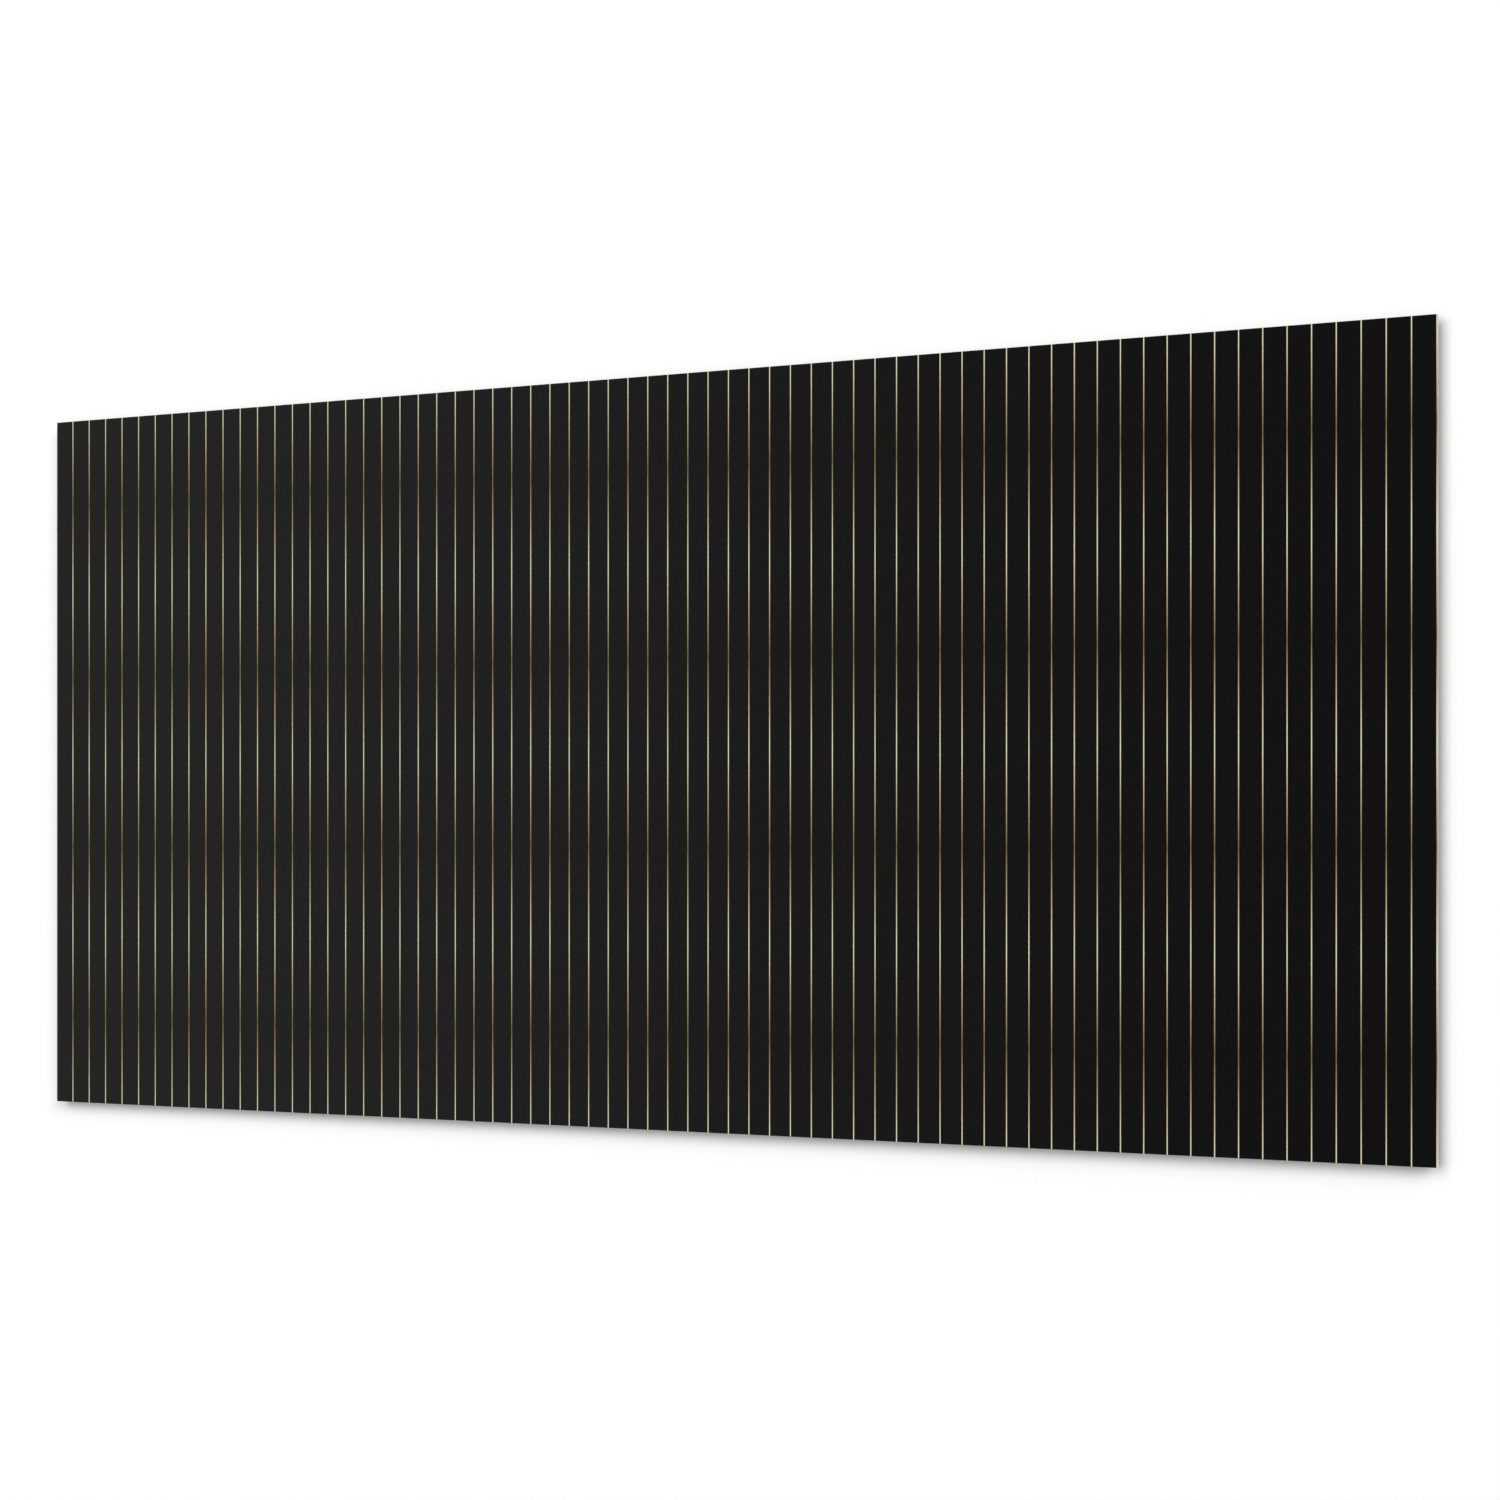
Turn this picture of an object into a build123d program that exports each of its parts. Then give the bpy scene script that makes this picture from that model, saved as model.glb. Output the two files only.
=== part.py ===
from build123d import *
import os

# A self-adhesive vinyl wall panel: a pale vinyl sheet with a face of printed black bands and gold lines.
# Sizes are in millimetres. The panel is upright, as it is stuck to a wall: +X runs along its width, +Z is up
# and the printed face looks along -Y. The origin is the middle of the back face, which sticks to the wall.

# Driving dimensions
panel_width = 1200.0
panel_height = 600.0
panel_thickness = 3.0
print_thickness = 0.2
line_width = 0.8
line_spacing = 17.65  # the lines stand as near to this apart as fills the width evenly

# Sizes worked out from them
sheet_thickness = panel_thickness - print_thickness
line_count = round(panel_width / line_spacing)
line_pitch = panel_width / line_count
band_width = line_pitch - line_width


def upright_slab(width, thickness):
    """A slab of the panel's full height, centred across the width, with its back face on the wall."""
    return Box(width, thickness, panel_height, align=(Align.CENTER, Align.MAX, Align.CENTER))


def printed_strips(width, offset):
    """One printed strip in each pitch of the face, set off to one side of the middle of its pitch."""
    strip = Pos(offset, -sheet_thickness, 0) * upright_slab(width, print_thickness)
    pitches = GridLocations(line_pitch, 0, line_count, 1)
    return Compound([pitch * strip for pitch in pitches])


# The sheet that carries the print and sticks to the wall
vinyl_sheet = upright_slab(panel_width, sheet_thickness)

# The print: every pitch is a black band with a gold line along its right side, flush with each other
black_bands = printed_strips(band_width, -line_width / 2)
gold_lines = printed_strips(line_width, band_width / 2)

nodes = {
    "vinyl_sheet": vinyl_sheet,
    "black_bands": black_bands,
    "gold_lines": gold_lines,
}
os.makedirs("parts", exist_ok=True)
for name, shape in nodes.items():
    export_step(shape, f"parts/{name}.step")
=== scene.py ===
"""Dresses the vinyl wall panel in its printed finishes, and lights it before a pale wall and floor."""
import math

import bpy
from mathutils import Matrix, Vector


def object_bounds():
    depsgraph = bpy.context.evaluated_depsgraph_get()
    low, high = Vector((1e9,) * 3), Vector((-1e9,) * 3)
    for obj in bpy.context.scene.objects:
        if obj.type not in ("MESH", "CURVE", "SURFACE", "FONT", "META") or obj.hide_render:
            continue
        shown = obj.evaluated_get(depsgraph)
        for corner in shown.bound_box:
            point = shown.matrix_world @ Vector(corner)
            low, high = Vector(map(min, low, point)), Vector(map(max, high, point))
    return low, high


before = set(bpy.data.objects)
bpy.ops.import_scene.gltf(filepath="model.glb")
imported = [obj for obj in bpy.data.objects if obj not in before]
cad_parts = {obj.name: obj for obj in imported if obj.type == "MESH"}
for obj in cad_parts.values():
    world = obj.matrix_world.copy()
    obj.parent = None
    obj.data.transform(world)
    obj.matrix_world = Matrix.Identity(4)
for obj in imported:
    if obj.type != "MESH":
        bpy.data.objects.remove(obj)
cad_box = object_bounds()

# The panel as packed, in metres
panel_low, panel_high = cad_box
panel_size = panel_high - panel_low
face_middle = Vector(((panel_low.x + panel_high.x) / 2, panel_low.y, (panel_low.z + panel_high.z) / 2))

# The camera: its place from the middle of the face, in panel heights, then its turn to the left,
# its lens in millimetres and how far its frame is raised, in frame widths
CAMERA_RIGHT = 1.5468
CAMERA_AWAY = 3.2005
CAMERA_BELOW = 0.1193
CAMERA_TURN = math.radians(24.05)
CAMERA_LENS = 64.48
CAMERA_RISE = 0.0619

# The stage, in metres: the wall surrounds the panel and reaches in a little behind its edges
WALL_GAP = 0.0076
WALL_MARGIN = 0.8
WALL_LAP = 0.0055
FLOOR_DROP = 0.6
FLOOR_SPAN = 10.0
FLOOR_FADE = (1.0, 4.5)

# The number of bounces past which light finds the wall solid
WALL_SOLID_AFTER = 1.5

# The glow that the camera alone sees on the stage, where 1 is white
WALL_GLOW = 0.016
FLOOR_GLOW = 0.48

# The lamps: place and size in metres, and how bright each looks, where 1 is white
KEY_LAMP = {"place": (-8.3, -25.6, 10.0), "size": (19.5, 30.0), "glow": 2.95}
FILL_LAMP = {"place": (18.0, -16.0, 14.8), "size": (14.0, 16.0), "glow": 5.2}
SIDE_LAMP = {"place": (12.0, 1.0, 3.0), "size": (6.0, 6.0), "glow": 5.2}
BACK_LAMP = {"place": (-3.0, 6.0, 4.0), "size": (5.0, 5.0), "glow": 7.8}
SHEEN_LAMP = {"place": (-3.6, -4.0, 0.0), "size": (3.4, 6.0), "glow": 0.36}

# The even light from all round, and what a glossy surface sees of it
AMBIENT = 0.24
AMBIENT_IN_GLOSS = 0.06

# The black ink: two tones, the spots of its grain and clouds, its roughness and the rise of its grain
INK_BLACK = (4, 4, 4)
INK_BLACK_WORN = (13, 13, 13)
INK_GRAIN = {"size": 0.0006, "detail": 2.0}
INK_CLOUDS = {"size": 0.09, "detail": 4.0}
INK_ROUGHNESS = 0.28
INK_ROUGHNESS_BY_CLOUDS = 0.05
INK_ROUGHNESS_BY_GRAIN = 0.06
INK_RISE = 0.00015

# The gold ink: the waves of light and dark along the height, and where on the way down from a crest
# each tone comes, of 0 to 1
GOLD_WAVES = 4
CREAM = (226, 222, 184)
PALE_GOLD = (228, 213, 172)
PALE_GOLD_AT = 0.13
OLD_GOLD = (181, 161, 118)
OLD_GOLD_AT = 0.57
BRONZE = (119, 98, 52)

# The gold ink's grain: its spots, the level past which it darkens and how fast, its roughness and its rise
GOLD_GRAIN = {"size": 0.0005, "detail": 2.0}
GOLD_SPECKLE_FROM = 0.5
GOLD_SPECKLE = 1.4
GOLD_ROUGHNESS = 0.28
GOLD_ROUGHNESS_BY_GRAIN = 0.14
GOLD_RISE = 0.00003

# The bare vinyl: two tones, the spots of its grain and clouds, its roughness and the rise of its grain
VINYL_IVORY = (238, 234, 222)
VINYL_SHADE = (230, 225, 212)
VINYL_GRAIN = {"size": 0.0011, "detail": 3.0}
VINYL_CLOUDS = {"size": 0.12, "detail": 5.0}
VINYL_ROUGHNESS = 0.4
VINYL_ROUGHNESS_BY_GRAIN = 0.16
VINYL_RISE = 0.00008

# How strongly every grain shows
GRAIN_STRENGTH = 0.6

# The stage's colours
WALL_WHITE = (254, 254, 254)
FLOOR_GREY = (188, 188, 188)
WHITE = (255, 255, 255)
BLACK = (0, 0, 0)

UPRIGHT = math.radians(90)


def linear(rgb):
    """A colour of 0 to 255 as the four linear numbers of a colour socket, by the sRGB curve."""
    shares = [level / 255 for level in rgb]
    return [s / 12.92 if s <= 0.04045 else ((s + 0.055) / 1.055) ** 2.4 for s in shares] + [1.0]


class Socket:
    """A node's output. Arithmetic on one that holds a number adds Math nodes beside it."""

    def __init__(self, nodes, output):
        self.nodes = nodes
        self.output = output

    def math(self, operation, first, second):
        return self.nodes.add("ShaderNodeMath", {"operation": operation}, {0: first, 1: second})

    def __add__(self, other):
        return self.math("ADD", self, other)

    def __radd__(self, other):
        return self.math("ADD", other, self)

    def __sub__(self, other):
        return self.math("SUBTRACT", self, other)

    def __rsub__(self, other):
        return self.math("SUBTRACT", other, self)

    def __mul__(self, other):
        return self.math("MULTIPLY", self, other)

    def __rmul__(self, other):
        return self.math("MULTIPLY", other, self)

    def __truediv__(self, other):
        return self.math("DIVIDE", self, other)

    def __rtruediv__(self, other):
        return self.math("DIVIDE", other, self)

    def __gt__(self, other):
        return self.math("GREATER_THAN", self, other)

    def pingpong(self, height):
        """The number folded back and forth between 0 and a height."""
        return self.math("PINGPONG", self, height)


class Nodes:
    """The node tree of a material or of the world, cleared and ready to be filled."""

    def __init__(self, owner):
        owner.use_nodes = True
        self.tree = owner.node_tree
        self.tree.nodes.clear()

    def add(self, kind, settings=None, inputs=None, output=0):
        """Adds a node, sets its settings, then its sockets' values or links, and gives one output."""
        node = self.tree.nodes.new(kind)
        for name, setting in (settings or {}).items():
            if name == "stops":
                self.set_stops(node.color_ramp, setting)
            else:
                setattr(node, name, setting)
        for name, value in (inputs or {}).items():
            if isinstance(value, Socket):
                self.tree.links.new(value.output, node.inputs[name])
            else:
                node.inputs[name].default_value = value
        return Socket(self, node.outputs[output]) if node.outputs else node

    def set_stops(self, ramp, stops):
        """Gives a colour ramp its stops, each a place of 0 to 1 and a colour of 0 to 255."""
        while len(ramp.elements) < len(stops):
            ramp.elements.new(1.0)
        for element, (place, colour) in zip(ramp.elements, stops):
            element.position = place
            element.color = linear(colour)

    def place(self, axis):
        """The surface's place along one axis of the panel, in metres."""
        position = self.add("ShaderNodeTexCoord", output="Object")
        return self.add("ShaderNodeSeparateXYZ", inputs={"Vector": position}, output=axis)

    def noise(self, size, detail):
        """Soft noise of about 0 to 1 whose spots are of the given size, in metres."""
        position = self.add("ShaderNodeTexCoord", output="Object")
        inputs = {"Vector": position, "Scale": 1 / size, "Detail": detail}
        return self.add("ShaderNodeTexNoise", inputs=inputs, output="Fac")

    def mix(self, share, first, second):
        """A colour between two others. Its sockets go by number, because several share a name."""
        return self.add("ShaderNodeMix", {"data_type": "RGBA"}, {0: share, 6: first, 7: second}, output=2)

    def bump(self, height, rise):
        """The normal of a surface whose height, of 0 to 1, stands up by a rise in metres."""
        inputs = {"Height": height, "Distance": rise, "Strength": GRAIN_STRENGTH}
        return self.add("ShaderNodeBump", inputs=inputs)

    def finish(self, shader, kind="ShaderNodeOutputMaterial"):
        """Makes a shader the one that the tree gives out."""
        self.add(kind, inputs={"Surface": shader})


def new_material(name):
    """A new material, with its empty node tree."""
    material = bpy.data.materials.new(name)
    return material, Nodes(material)


def black_print():
    """Satin black ink on vinyl: a fine even grain, and a gloss that clouds a little over the face."""
    material, nodes = new_material("black_print")
    grain = nodes.noise(**INK_GRAIN)
    clouds = nodes.noise(**INK_CLOUDS)
    nodes.finish(nodes.add("ShaderNodeBsdfPrincipled", inputs={
        "Base Color": nodes.mix(grain, linear(INK_BLACK), linear(INK_BLACK_WORN)),
        "Roughness": INK_ROUGHNESS + INK_ROUGHNESS_BY_CLOUDS * clouds + INK_ROUGHNESS_BY_GRAIN * grain,
        "Normal": nodes.bump(grain, INK_RISE),
    }))
    return material


def gold_print():
    """Gold ink in even waves of cream to bronze along the height, with a fine dark speckle."""
    material, nodes = new_material("gold_print")
    half_wave = 0.5 / GOLD_WAVES
    share = (nodes.place("Z") - panel_low.z) / panel_size.z
    wave = share.pingpong(half_wave) / half_wave
    stops = [(0.0, CREAM), (PALE_GOLD_AT, PALE_GOLD), (OLD_GOLD_AT, OLD_GOLD), (1.0, BRONZE)]
    colour = nodes.add("ShaderNodeValToRGB", {"stops": stops}, {"Fac": wave})
    grain = nodes.noise(**GOLD_GRAIN)
    speckle = GOLD_SPECKLE * (grain - GOLD_SPECKLE_FROM)
    nodes.finish(nodes.add("ShaderNodeBsdfPrincipled", inputs={
        "Base Color": nodes.mix(speckle, colour, linear(BRONZE)),
        "Roughness": GOLD_ROUGHNESS + GOLD_ROUGHNESS_BY_GRAIN * grain,
        "Normal": nodes.bump(grain, GOLD_RISE),
    }))
    return material


def white_vinyl():
    """Ivory vinyl at the cut edges and on the back, a little uneven in tone, with a fine rolled grain."""
    material, nodes = new_material("white_vinyl")
    grain = nodes.noise(**VINYL_GRAIN)
    clouds = nodes.noise(**VINYL_CLOUDS)
    nodes.finish(nodes.add("ShaderNodeBsdfPrincipled", inputs={
        "Base Color": nodes.mix(clouds, linear(VINYL_IVORY), linear(VINYL_SHADE)),
        "Roughness": VINYL_ROUGHNESS + VINYL_ROUGHNESS_BY_GRAIN * grain,
        "Normal": nodes.bump(grain, VINYL_RISE),
    }))
    return material


def stage_paint(nodes, colour, glow):
    """Flat paint, black to all but the camera, with a glow that takes it to white where no shade falls."""
    camera_ray = nodes.add("ShaderNodeLightPath", output="Is Camera Ray")
    return nodes.add("ShaderNodeBsdfPrincipled", inputs={
        "Base Color": nodes.mix(camera_ray, linear(BLACK), linear(colour)),
        "Roughness": 1.0,
        "Specular IOR Level": 0.0,
        "Emission Color": nodes.mix(camera_ray, linear(BLACK), linear(WHITE)),
        "Emission Strength": glow,
    })


def floor_paint():
    """Pale paint that fades into the white all round, so that the floor has no edge."""
    material, nodes = new_material("floor_paint")
    position = nodes.add("ShaderNodeTexCoord", output="Object")
    reach = nodes.add("ShaderNodeVectorMath", {"operation": "LENGTH"}, {0: position}, output="Value")
    start, end = FLOOR_FADE
    faded = nodes.add("ShaderNodeMapRange", inputs={"Value": reach, "From Min": start, "From Max": end})
    paint = stage_paint(nodes, FLOOR_GREY, FLOOR_GLOW)
    clear = nodes.add("ShaderNodeBsdfTransparent")
    nodes.finish(nodes.add("ShaderNodeMixShader", inputs={0: faded, 1: paint, 2: clear}))
    return material


def wall_paint(name, seen_from_front):
    """Paint that lets light through to the panel's back, but keeps that light off the wall."""
    material, nodes = new_material(name)
    bounces = nodes.add("ShaderNodeLightPath", output="Ray Depth")
    solid = bounces > WALL_SOLID_AFTER
    if seen_from_front:
        camera_ray = nodes.add("ShaderNodeLightPath", output="Is Camera Ray")
        behind = nodes.add("ShaderNodeNewGeometry", output="Backfacing")
        solid = solid + camera_ray * (1 - behind)
    clear = nodes.add("ShaderNodeBsdfTransparent")
    paint = stage_paint(nodes, WALL_WHITE, WALL_GLOW)
    nodes.finish(nodes.add("ShaderNodeMixShader", inputs={0: solid, 1: clear, 2: paint}))
    return material


def add_wall():
    """A wall close behind the panel, which the camera sees only from in front and only around the panel."""
    width = panel_size.x + 2 * WALL_MARGIN
    height = panel_size.z + 2 * WALL_MARGIN
    place = (face_middle.x, panel_high.y + WALL_GAP, face_middle.z)
    bpy.ops.object.select_all(action="DESELECT")
    bpy.ops.mesh.primitive_plane_add(size=1, location=place, rotation=(UPRIGHT, 0, 0))
    wall = bpy.context.object
    wall.name = "wall"
    wall.scale = (width, height, 1)
    bpy.ops.object.transform_apply(location=False, rotation=False, scale=True)
    paint = wall_paint("wall_paint", seen_from_front=True)
    hidden_paint = wall_paint("hidden_wall_paint", seen_from_front=False)
    wall.data.materials.append(paint)
    wall.data.materials.append(hidden_paint)
    bpy.ops.object.mode_set(mode="EDIT")
    bpy.ops.mesh.inset(thickness=WALL_MARGIN + WALL_LAP)
    wall.active_material_index = wall.data.materials.find(hidden_paint.name)
    bpy.ops.object.material_slot_assign()
    bpy.ops.object.mode_set(mode="OBJECT")
    return wall


def add_floor():
    """A wide floor below the panel, which takes its shade but throws no light or shade back at it."""
    bpy.ops.object.select_all(action="DESELECT")
    bpy.ops.mesh.primitive_plane_add(size=FLOOR_SPAN, location=(0, 0, panel_low.z - FLOOR_DROP))
    floor = bpy.context.object
    floor.name = "floor"
    floor.data.materials.append(floor_paint())
    floor.visible_diffuse = False
    floor.visible_glossy = False
    floor.visible_shadow = False
    return floor


def soft_lamp(name, place, size, glow, in_gloss=False):
    """A large flat lamp aimed at the middle of the panel, with the power that gives it its glow."""
    lamp = bpy.data.lights.new(name, "AREA")
    lamp.shape = "RECTANGLE"
    lamp.size, lamp.size_y = size
    lamp.energy = glow * math.pi * lamp.size * lamp.size_y
    holder = bpy.data.objects.new(name, lamp)
    holder.location = place
    holder.rotation_euler = (Vector(place) - face_middle).to_track_quat("Z", "Y").to_euler()
    holder.visible_camera = False
    holder.visible_glossy = in_gloss
    bpy.context.collection.objects.link(holder)


def add_lamps():
    """A broad key from the upper left, a fill from the upper right, one lamp each for the right edge and
    the back, and a dim one on the left that shows in the face's sheen."""
    soft_lamp("key_lamp", **KEY_LAMP)
    soft_lamp("fill_lamp", **FILL_LAMP)
    soft_lamp("side_lamp", **SIDE_LAMP)
    soft_lamp("back_lamp", **BACK_LAMP)
    soft_lamp("sheen_lamp", **SHEEN_LAMP, in_gloss=True)


def add_world():
    """An even light from all round, which the camera sees as white."""
    world = bpy.data.worlds.new("studio")
    bpy.context.scene.world = world
    nodes = Nodes(world)
    camera_ray = nodes.add("ShaderNodeLightPath", output="Is Camera Ray")
    diffuse_ray = nodes.add("ShaderNodeLightPath", output="Is Diffuse Ray")
    for_camera = (1 - AMBIENT_IN_GLOSS) * camera_ray
    for_paint = (AMBIENT - AMBIENT_IN_GLOSS) * diffuse_ray
    light = nodes.add("ShaderNodeBackground", inputs={
        "Color": linear(WHITE),
        "Strength": AMBIENT_IN_GLOSS + for_camera + for_paint,
    })
    nodes.finish(light, "ShaderNodeOutputWorld")


def add_camera():
    """A level camera to the right of the panel and a little below its middle, turned towards it."""
    camera = bpy.data.objects.new("camera", bpy.data.cameras.new("camera"))
    away = Vector((CAMERA_RIGHT, -CAMERA_AWAY, -CAMERA_BELOW)) * panel_size.z
    camera.location = face_middle + away
    camera.rotation_euler = (UPRIGHT, 0, CAMERA_TURN)
    camera.data.lens = CAMERA_LENS
    camera.data.shift_y = CAMERA_RISE
    bpy.context.collection.objects.link(camera)
    bpy.context.scene.camera = camera


def dress(node, material):
    """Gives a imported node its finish."""
    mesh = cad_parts[node].data
    mesh.materials.clear()
    mesh.materials.append(material)


dress("vinyl_sheet", white_vinyl())
dress("black_bands", black_print())
dress("gold_lines", gold_print())
add_wall()
add_floor()
add_lamps()
add_world()
add_camera()
bpy.context.scene.view_settings.view_transform = "Standard"
